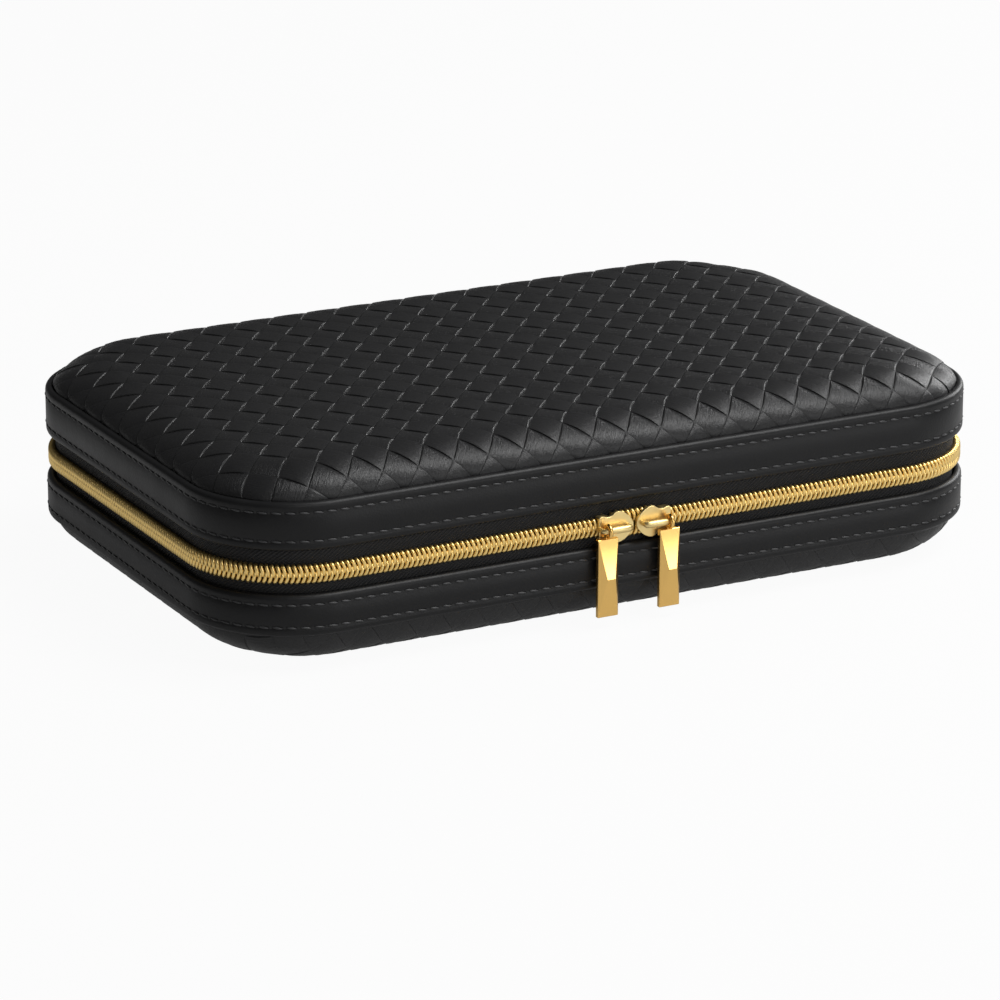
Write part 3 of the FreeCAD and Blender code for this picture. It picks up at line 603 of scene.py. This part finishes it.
def zip_tape(name, node, body, low, high):
    """Twill tape that follows the outline from one end of the hinge round the front to the other."""
    bm = bmesh.new()
    run_map = bm.verts.layers.float_vector.new("run_place")
    length = 2 * ZIP_HALF
    steps = 220
    thick = 0.5 * MM
    start = rim_place(-ZIP_HALF, TAPE_INSET)
    section = [(0, low), (0, high), (thick, high), (thick, low)]
    verts = [bm.verts.new(start @ Vector((0, back, z))) for back, z in section]
    edges = [bm.edges.new((verts[i], verts[(i + 1) % 4])) for i in range(4)]
    for vert in verts:
        vert[run_map] = (0, vert.co.z, 0)
    for step in range(1, steps + 1):
        here = rim_place(-ZIP_HALF + length * step / steps, TAPE_INSET)
        before = rim_place(-ZIP_HALF + length * (step - 1) / steps, TAPE_INSET)
        made = bmesh.ops.extrude_edge_only(bm, edges=edges)["geom"]
        moved = [g for g in made if isinstance(g, bmesh.types.BMVert)]
        kept = set(moved)
        edges = [g for g in made if isinstance(g, bmesh.types.BMEdge) and set(g.verts) <= kept]
        bmesh.ops.transform(bm, matrix=here @ before.inverted(), verts=moved)
        for vert in moved:
            vert[run_map] = (length * step / steps, vert.co.z, 0)
    uv = bm.loops.layers.uv.new("run")
    for face in bm.faces:
        for loop in face.loops:
            loop[uv].uv = loop.vert[run_map].xy
    bmesh.ops.recalc_face_normals(bm, faces=bm.faces)
    piece = finish_piece(name, bm, TWILL, body)
    add_bevel(piece, 0.1 * MM, 1)
    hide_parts(node)


def coil_spread(x, y):
    """How far a row stands off the zip line: open between the noses, closed behind the tails."""
    if y > 0:
        return 0.0
    near = 5.0 * MM
    far = 8.6 * MM
    share = min(max((far - abs(x - ZIP_MEET)) / (far - near), 0.0), 1.0)
    return COIL_SPREAD * share * share * (3 - 2 * share)


def coil_row(name, node, body, up, first):
    """One side of the coil: slanted turns of wire whose heads hook past the zip line."""
    inset = COIL_FRONT + COIL_WIRE
    bm = bmesh.new()
    turn_of_wire = [(0.3, 0.6, -0.6), (0.44, 0.12, -0.3), (0.46, -0.08, 0.35), (0.34, -0.12, 1.1),
                    (0.06, -0.05, 1.85), (-0.26, 0.35, 2.4), (-0.42, 1.0, 2.5), (-0.3, 1.5, 1.9)]
    points = [(along * MM, back * MM, up * rise * MM) for along, back, rise in turn_of_wire]
    wire_sides = 7
    add_tube(bm, points, [COIL_WIRE] * len(points), wire_sides)
    bmesh.ops.recalc_face_normals(bm, faces=bm.faces)
    template = bpy.data.meshes.new("one_turn")
    bm.to_mesh(template)
    bm.free()
    half = ZIP_HALF - COIL_END_GAP
    places = []
    count = int(2 * half / COIL_PITCH)
    for index in range(count):
        place = rim_place(-half + first + index * COIL_PITCH, inset)
        lift = ZIP_LINE + up * coil_spread(place.translation.x, place.translation.y)
        places.append(Matrix.Translation((0, 0, lift)) @ place)
    bm = bmesh.new()
    repeat_along(bm, template, places)
    bpy.data.meshes.remove(template)
    piece = finish_piece(name, bm, COIL_GOLD, body)
    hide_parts(node)


zip_tape("lid_zip_tape", "lid_tape", "lid", LID_TAPE_LOW, BAND_LOW.z + TAPE_TUCK)
zip_tape("base_zip_tape", "base_tape", "base", BASE_HIGH.z - TAPE_TUCK, BASE_TAPE_HIGH)
coil_row("base_coil", "base_chain", "base", -1, 0.0)
coil_row("lid_coil", "lid_chain", "lid", 1, COIL_PITCH / 2)


# Leather hinge at the back

def leather_hinge():
    """Strip across the back with a hollow along its middle, where the hinge folds."""
    fold_cuts = 23
    fold_share = 0.2
    fold_hollow = 0.4 * MM
    bm = bmesh.new()
    add_block(bm, HINGE_LOW, HINGE_HIGH)
    upright = [e for e in bm.edges if abs(e.verts[0].co.z - e.verts[1].co.z) > MM]
    bmesh.ops.subdivide_edges(bm, edges=upright, cuts=fold_cuts, use_grid_fill=True)
    for vert in bm.verts:
        share = (vert.co.z - HINGE_LOW.z) / (HINGE_HIGH.z - HINGE_LOW.z)
        middle = max(0.0, 1 - abs(share - 0.5) / fold_share)
        vert.co.y -= fold_hollow * middle * middle
    piece = finish_piece("leather_hinge", bm, BAND_LEATHER, None)
    add_bevel(piece, 0.25 * MM, 2, 60)
    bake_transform(piece)
    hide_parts("hinge_strip")


leather_hinge()


# Sliders, bridges and pulls

def slider_plate(bm, low, high, side):
    """One plate of a slider: short tail, dipped shoulders, then wings that close to a rounded nose."""
    ahead = 1 if side < 0 else -1
    tail_x = low.x if side < 0 else high.x
    length = high.x - low.x
    wide = (high.z - low.z) / 2
    middle = (high.z + low.z) / 2
    wing = [(0.0, 0.74), (0.05, 0.81), (0.12, 0.80), (0.20, 0.72), (0.29, 0.71), (0.38, 0.79),
            (0.46, 0.94), (0.53, 1.0), (0.62, 0.97), (0.74, 0.85), (0.86, 0.62), (0.95, 0.34),
            (0.99, 0.12)]
    points = [(tail_x + ahead * length * a, middle + wide * b) for a, b in wing]
    points += [(x, 2 * middle - z) for x, z in reversed(points)]
    face = bm.faces.new([bm.verts.new((x, low.y, z)) for x, z in points])
    made = bmesh.ops.extrude_face_region(bm, geom=[face])["geom"]
    moved = [g for g in made if isinstance(g, bmesh.types.BMVert)]
    bmesh.ops.translate(bm, vec=(0, high.y - low.y, 0), verts=moved)
    bmesh.ops.recalc_face_normals(bm, faces=bm.faces)


def shifted_box(node):
    low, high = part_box(node)
    return low + SLIDER_SHIFT, high + SLIDER_SHIFT


def zip_slider(tag, side):
    """Slider body: front and back plates, the post between them and flanges along the tail."""
    low, high = shifted_box(f"{tag}_slider")
    ahead = 1 if side < 0 else -1
    spare = 0.7 * MM
    if side < 0:
        low.x += spare
    else:
        high.x -= spare
    front = 1.2 * MM
    back = 1.0 * MM
    bm = bmesh.new()
    slider_plate(bm, low, Vector((high.x, low.y + front, high.z)), side)
    slider_plate(bm, Vector((low.x, high.y - back, low.z)), high, side)
    nose_x = high.x if side < 0 else low.x
    tail_x = low.x if side < 0 else high.x
    middle = (low.z + high.z) / 2
    post_inset = 1.2 * MM
    post_length = 1.6 * MM
    post_half = 0.7 * MM
    post = sorted((nose_x - ahead * post_inset, nose_x - ahead * (post_inset + post_length)))
    add_block(bm, (post[0], low.y + front / 2, middle - post_half),
              (post[1], high.y - back / 2, middle + post_half))
    flange_start = 0.2 * MM
    flange_end = 3.2 * MM
    flange_inner = 3.1 * MM
    flange_outer = 3.5 * MM
    flange_depth = 3.3 * MM
    ends = sorted((tail_x + ahead * flange_start, tail_x + ahead * flange_end))
    for up in (-1, 1):
        levels = sorted((middle + up * flange_inner, middle + up * flange_outer))
        add_block(bm, (ends[0], low.y + front / 2, levels[0]), (ends[1], low.y + flange_depth, levels[1]))
    piece = finish_piece(f"{tag}_slider_body", bm, GOLD, f"{tag}_slider")
    add_bevel(piece, 0.3 * MM, 3)
    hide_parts(f"{tag}_slider")


def slider_bridge(tag, side):
    """Bar bent over the slider's front, stout in the middle, with a foot at each end."""
    low, high = shifted_box(f"{tag}_bridge")
    ahead = 1 if side < 0 else -1
    middle = (low.z + high.z) / 2
    foot = 0.75 * MM
    stout = 1.08 * MM
    axis_y = low.y + (high.z - low.z) / 2
    tail = (low.x if side < 0 else high.x) + ahead * 1.5 * MM
    nose = (high.x if side < 0 else low.x) + ahead * 0.2 * MM
    bend = 1.1 * MM
    near = 0.3 * bend
    points = [(tail, high.y), (tail, axis_y + bend), (tail + ahead * near, axis_y + near),
              (tail + ahead * bend, axis_y), ((tail + nose) / 2, axis_y), (nose - ahead * bend, axis_y),
              (nose - ahead * near, axis_y + near), (nose, axis_y + bend), (nose, high.y)]
    radii = [foot, foot, foot, 0.95 * MM, stout, stout, stout, foot, foot]
    bm = bmesh.new()
    add_tube(bm, [(x, y, middle) for x, y in points], radii, 16)
    bmesh.ops.recalc_face_normals(bm, faces=bm.faces)
    piece = finish_piece(f"{tag}_slider_bridge", bm, GOLD, f"{tag}_slider")
    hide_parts(f"{tag}_bridge")


def zip_pull(tag):
    """Pull: a round eye on the bridge, and a bar with four facets that rise to a short level ridge."""
    low, high = shifted_box(f"{tag}_pull")
    low.x -= 0.1 * MM
    high.x += 0.2 * MM
    bar_low, bar_high = shifted_box(f"{tag}_bridge")
    centre_x = (low.x + high.x) / 2
    axis_y = bar_low.y + (bar_high.z - bar_low.z) / 2
    axis_z = (bar_low.z + bar_high.z) / 2
    eye_inner = 1.15 * MM
    eye_outer = 2.38 * MM
    wire = (eye_outer - eye_inner) / 2
    bm = bmesh.new()
    made = bmesh.ops.create_circle(bm, cap_ends=False, radius=wire, segments=12)["verts"]
    bmesh.ops.translate(bm, vec=(0, eye_inner + wire, 0), verts=made)
    edges = list({edge for vert in made for edge in vert.link_edges})
    bmesh.ops.spin(bm, geom=made + edges, cent=(0, 0, 0), axis=(1, 0, 0), angle=2 * math.pi, steps=28,
                   use_merge=True)
    bmesh.ops.translate(bm, vec=(centre_x, axis_y, axis_z), verts=bm.verts)
    bmesh.ops.recalc_face_normals(bm, faces=bm.faces)
    for face in bm.faces:
        face.smooth = True
    edge = 1.4 * MM
    rise = 2.2 * MM
    hollow = 0.14 * MM
    rear = axis_y + edge
    face_y = rear - edge
    top = axis_z - (high.z - axis_z) - 0.4 * MM
    blade = add_block(bm, (low.x, face_y, low.z), (high.x, rear, top))
    front = next(f for f in bm.faces if set(f.verts) <= set(blade) and f.normal.y < -0.9)
    made = bmesh.ops.extrude_discrete_faces(bm, faces=[front])["faces"][0]
    ridge_z = low.z + 0.5 * (top - low.z)
    half_ridge = 1.4 * MM
    half_flat = 0.08 * MM
    for vert in made.verts:
        across = 1 if vert.co.x > centre_x else -1
        level = 1 if vert.co.z > ridge_z else -1
        vert.co = (centre_x + across * half_ridge, face_y - rise, ridge_z + level * half_flat)
    bm.normal_update()
    sloped = [f for f in bm.faces if f.normal.y < -0.9 and f.normal.z > 0.05]
    upper = max(sloped, key=lambda f: f.calc_area())
    flanks = [e for e in upper.edges if abs(e.verts[0].co.z - e.verts[1].co.z) > 5 * MM]
    cut = bmesh.ops.subdivide_edges(bm, edges=flanks, cuts=7, use_grid_fill=True)["geom_inner"]
    for vert in {g for g in cut if isinstance(g, bmesh.types.BMVert)}:
        share = (top - vert.co.z) / (top - ridge_z)
        vert.co.y += 4 * hollow * share * (1 - share)
    bm.normal_update()
    creased = [e for e in bm.edges if not e.link_faces[0].smooth and e.calc_face_angle() > math.radians(8)]
    bmesh.ops.bevel(bm, geom=creased, offset=0.12 * MM, offset_type="OFFSET", segments=1,
                    profile=0.5, affect="EDGES", material=-1)
    bm.normal_update()
    hollowed = [f for f in bm.faces
                if f.normal.y < -0.9 and f.normal.z > 0.05 and f.calc_area() > MM * MM]
    for face in hollowed:
        face.smooth = True
    for border in {e for f in hollowed for e in f.edges}:
        border.smooth = all(f in hollowed for f in border.link_faces)
    half_neck = 0.7 * MM
    add_block(bm, (centre_x - half_neck, face_y + 0.2 * MM, top - MM),
              (centre_x + half_neck, rear - 0.15 * MM, axis_z - eye_inner - 0.3 * MM))
    piece = finish_piece(f"{tag}_zip_pull", bm, PULL_GOLD, f"{tag}_pull", smooth=None)
    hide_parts(f"{tag}_pull")


for tag, side in (("left", -1), ("right", 1)):
    zip_slider(tag, side)
    slider_bridge(tag, side)
    zip_pull(tag)


# Inside: lining, pads, rolls and dividers

LINING_THICK = 0.8 * MM


def close_middle(bm):
    """Fill the two level openings that a sweep leaves in the middle of the case."""
    bmesh.ops.edgeloop_fill(bm, edges=[e for e in bm.edges if e.is_boundary])
    bmesh.ops.recalc_face_normals(bm, faces=bm.faces)


def lining_tray(name, node, body, floor, rim):
    """Cloth over the inside of a board tray, folded over the board's edge."""
    up = 1 if rim > floor else -1
    under = floor - up * LINING_THICK
    section = [(-9.0, under, 0), (-6.2, under, 0), (-6.15, rim, -1.6), (-6.0, rim, 0.1),
               (-3.75, rim, 0.1), (-3.75, rim, 0.4), (-4.3, rim, 0.65), (-5.2, rim, 0.75),
               (-6.2, rim, 0.55), (-6.85, rim, -0.1), (-6.9, rim, -1.0), (-6.95, floor, 1.0),
               (-7.3, floor, 0.3), (-9.0, floor, 0)]
    bm = bmesh.new()
    profile = [(out * MM, level + up * rise * MM) for out, level, rise in section]
    sweep_round(bm, profile, LINING_CORNER_STEPS)
    close_middle(bm)
    mark_sharp(bm)
    piece = finish_piece(name, bm, LINING, body)
    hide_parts(node)


def soft_slab(name, node, body, seat, face, crown):
    """Padded panel that fills the plan of the tray, with full sides and a crowned face."""
    thick = face - seat
    inset = HALF_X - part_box(node)[1].x
    section = [(24, 0, 0), (1.2, 0, 0), (0.35, 0.12, 0), (0.0, 0.45, 0), (0.3, 0.78, 0), (1.2, 0.96, 0.0),
               (3.0, 1.0, 0.25), (7.0, 1.0, 0.6), (14.0, 1.0, 0.88), (24.0, 1.0, 1.0)]
    bm = bmesh.new()
    profile = [(-inset - inward * MM, seat + thick * share + crown * swell)
               for inward, share, swell in section]
    sweep_round(bm, profile, LINING_CORNER_STEPS)
    close_middle(bm)
    mark_sharp(bm)
    piece = finish_piece(name, bm, LINING, body)
    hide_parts(node)


def ring_roll(number):
    """Soft roll with a flat seat and drawn-in ends."""
    node = f"ring_roll_{number}"
    low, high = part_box(node)
    radius = (high.x - low.x) / 2
    centre = Vector(((low.x + high.x) / 2, low.y, high.z - radius))
    length = high.y - low.y
    stations = [(0.0, 0.62), (0.004, 0.80), (0.014, 0.92), (0.035, 0.985), (0.08, 1.0), (0.5, 1.0)]
    stations += [(1 - share, size) for share, size in reversed(stations[:-1])]
    bm = bmesh.new()
    ring = bmesh.ops.create_circle(bm, cap_ends=False, radius=radius, segments=36)["verts"]
    bmesh.ops.rotate(bm, cent=(0, 0, 0), matrix=Matrix.Rotation(math.pi / 2, 3, "X"), verts=ring)
    bmesh.ops.translate(bm, vec=centre, verts=ring)
    loop = list({edge for vert in ring for edge in vert.link_edges})
    ends = [loop]
    size_before = 1.0
    for step, (share, size) in enumerate(stations):
        if step:
            made = bmesh.ops.extrude_edge_only(bm, edges=loop)["geom"]
            ring = [g for g in made if isinstance(g, bmesh.types.BMVert)]
            kept = set(ring)
            loop = [g for g in made if isinstance(g, bmesh.types.BMEdge) and set(g.verts) <= kept]
            bmesh.ops.translate(bm, vec=(0, length * (share - stations[step - 1][0]), 0), verts=ring)
        grow = size / size_before
        middle = Matrix.Translation(-Vector((centre.x, low.y + length * share, centre.z)))
        bmesh.ops.scale(bm, vec=(grow, 1, grow), space=middle, verts=ring)
        size_before = size
    ends.append(loop)
    for end in ends:
        bmesh.ops.contextual_create(bm, geom=end)
    for vert in bm.verts:
        vert.co.z = max(vert.co.z, low.z)
    bmesh.ops.recalc_face_normals(bm, faces=bm.faces)
    mark_sharp(bm)
    piece = finish_piece(f"velvet_ring_roll_{number}", bm, LINING, "base")
    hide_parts(node)


def notched_board(name, node, lengthwise, notches, from_top):
    """Cloth-covered divider, half lapped at each crossing."""
    low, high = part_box(node)
    half_notch = 1.3 * MM
    lap = (low.z + high.z) / 2
    start, end = (low.x, high.x) if lengthwise else (low.y, high.y)
    plain, cut = (low.z, high.z) if from_top else (high.z, low.z)
    points = [(start, plain), (start, cut)]
    for centre in notches:
        points += [(centre - half_notch, cut), (centre - half_notch, lap), (centre + half_notch, lap),
                   (centre + half_notch, cut)]
    points += [(end, cut), (end, plain)]
    bm = bmesh.new()
    face = bm.faces.new([bm.verts.new((a, low.y, z) if lengthwise else (low.x, a, z)) for a, z in points])
    made = bmesh.ops.extrude_face_region(bm, geom=[face])["geom"]
    moved = [g for g in made if isinstance(g, bmesh.types.BMVert)]
    depth = (0, high.y - low.y, 0) if lengthwise else (high.x - low.x, 0, 0)
    bmesh.ops.translate(bm, vec=depth, verts=moved)
    bmesh.ops.recalc_face_normals(bm, faces=bm.faces)
    piece = finish_piece(name, bm, LINING, "base")
    add_bevel(piece, 0.55 * MM, 3)
    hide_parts(node)


BASE_LINING_LOW, BASE_LINING_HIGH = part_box("base_lining")
LID_LINING_LOW, LID_LINING_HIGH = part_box("lid_lining")
lining_tray("base_velvet_lining", "base_lining", "base", BASE_LINING_LOW.z + LINING_THICK,
            BASE_LINING_HIGH.z)
lining_tray("lid_velvet_lining", "lid_lining", "lid", LID_LINING_HIGH.z - LINING_THICK,
            LID_LINING_LOW.z)
FLOOR_LOW, FLOOR_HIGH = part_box("base_floor_pad")
LID_PAD_LOW, LID_PAD_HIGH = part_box("lid_pad")
soft_slab("base_floor_cushion", "base_floor_pad", "base", FLOOR_LOW.z, FLOOR_HIGH.z, 0.0)
soft_slab("lid_soft_pad", "lid_pad", "lid", LID_PAD_HIGH.z, LID_PAD_LOW.z, -1.5 * MM)
for number in range(1, 6):
    ring_roll(number)
crossings = []
for number in range(1, 4):
    node = f"divider_cross_{number}"
    cross_low, cross_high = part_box(node)
    crossings.append((cross_low.x + cross_high.x) / 2)
    notched_board(f"velvet_cross_divider_{number}", node, False, [0.0], False)
notched_board("velvet_long_divider", "divider_long", True, crossings, True)
for node in ("base_shell", "lid_shell"):
    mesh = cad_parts[node].data
    mesh.materials.clear()
    mesh.materials.append(BOARD)


# Studio: pale floor, soft lamps and the photograph's camera

def pale_floor():
    """Floor that is white to the camera, keeps some of the shadow, and is dimmer in reflections."""
    bm = bmesh.new()
    bmesh.ops.create_grid(bm, x_segments=1, y_segments=1, size=6.0)
    mesh = bpy.data.meshes.new("studio_floor")
    bm.to_mesh(mesh)
    bm.free()
    floor = bpy.data.objects.new("studio_floor", mesh)
    bpy.context.scene.collection.objects.link(floor)
    floor.location.z = -0.2 * MM
    material, nodes, links, shader = new_material("studio_floor")
    shader.inputs["Base Color"].default_value = (0.5, 0.5, 0.5, 1)
    shader.inputs["Roughness"].default_value = 0.9
    shader.inputs["Specular IOR Level"].default_value = 0.1
    glow = add_node(nodes, "ShaderNodeEmission", Color=(1, 1, 1, 1), Strength=1.0)
    ray = add_node(nodes, "ShaderNodeLightPath")
    mirror_share = 0.25
    camera_share = 0.95
    mirrored = add_node(nodes, "ShaderNodeMath", operation="MAXIMUM")
    links.new(ray.outputs["Is Glossy Ray"], mirrored.inputs[0])
    links.new(ray.outputs["Is Transmission Ray"], mirrored.inputs[1])
    faint = add_node(nodes, "ShaderNodeMath", operation="MULTIPLY")
    faint.inputs[1].default_value = mirror_share
    links.new(mirrored.outputs[0], faint.inputs[0])
    clear = add_node(nodes, "ShaderNodeMath", operation="MULTIPLY")
    clear.inputs[1].default_value = camera_share
    links.new(ray.outputs["Is Camera Ray"], clear.inputs[0])
    share = add_node(nodes, "ShaderNodeMath", operation="MAXIMUM")
    links.new(faint.outputs[0], share.inputs[0])
    links.new(clear.outputs[0], share.inputs[1])
    mix = add_node(nodes, "ShaderNodeMixShader")
    links.new(share.outputs[0], mix.inputs["Fac"])
    links.new(shader.outputs["BSDF"], mix.inputs[1])
    links.new(glow.outputs["Emission"], mix.inputs[2])
    links.new(mix.outputs["Shader"], nodes["Material Output"].inputs["Surface"])
    mesh.materials.append(material)


def pale_world():
    """Dim even surround; the floor gives the white background."""
    world = bpy.data.worlds.new("studio")
    bpy.context.scene.world = world
    world.use_nodes = True
    surround = world.node_tree.nodes["Background"]
    surround.inputs["Color"].default_value = (1, 1, 1, 1)
    surround.inputs["Strength"].default_value = 0.08


def area_lamp(name, place, size, power, aim=(0, 0, 0.03)):
    data = bpy.data.lights.new(name, "AREA")
    data.shape = "RECTANGLE"
    data.size, data.size_y = size
    data.energy = power
    lamp = bpy.data.objects.new(name, data)
    lamp.location = place
    lamp.rotation_euler = (Vector(aim) - Vector(place)).to_track_quat("-Z", "Y").to_euler()
    bpy.context.scene.collection.objects.link(lamp)


def photo_camera():
    """Camera at the photograph's angle, with its long lens."""
    azimuth = math.radians(-27.45)
    elevation = math.radians(18.38)
    distance = 1.664
    focal_pixels = 5541.0
    frame_pixels = 1000.0
    aim = Vector((-24.98 * MM, -44.91 * MM, ZIP_LINE + 0.21 * MM))
    back = Vector((math.sin(azimuth) * math.cos(elevation), -math.cos(azimuth) * math.cos(elevation),
                   math.sin(elevation)))
    right = Vector((0, 0, 1)).cross(back).normalized()
    up = back.cross(right)
    data = bpy.data.cameras.new("photo_camera")
    data.sensor_width = 36.0
    data.lens = data.sensor_width * focal_pixels / frame_pixels
    data.clip_end = 50.0
    camera = bpy.data.objects.new("photo_camera", data)
    turn = Matrix((right, up, back)).transposed().to_4x4()
    camera.matrix_world = Matrix.Translation(aim + back * distance) @ turn
    bpy.context.scene.collection.objects.link(camera)
    bpy.context.scene.camera = camera


pale_floor()
pale_world()
area_lamp("key_softbox", (0.5, -0.35, 1.05), (0.8, 0.6), 14.0)
area_lamp("right_softbox", (1.2, 0.48, 0.45), (0.5, 0.4), 7.0)
area_lamp("front_softbox", (-0.1, -1.35, 0.7), (0.9, 0.5), 4.0)
area_lamp("low_front_softbox", (0.62, -1.2, 0.16), (0.5, 0.3), 2.0)
photo_camera()
bpy.context.scene.view_settings.view_transform = "Standard"
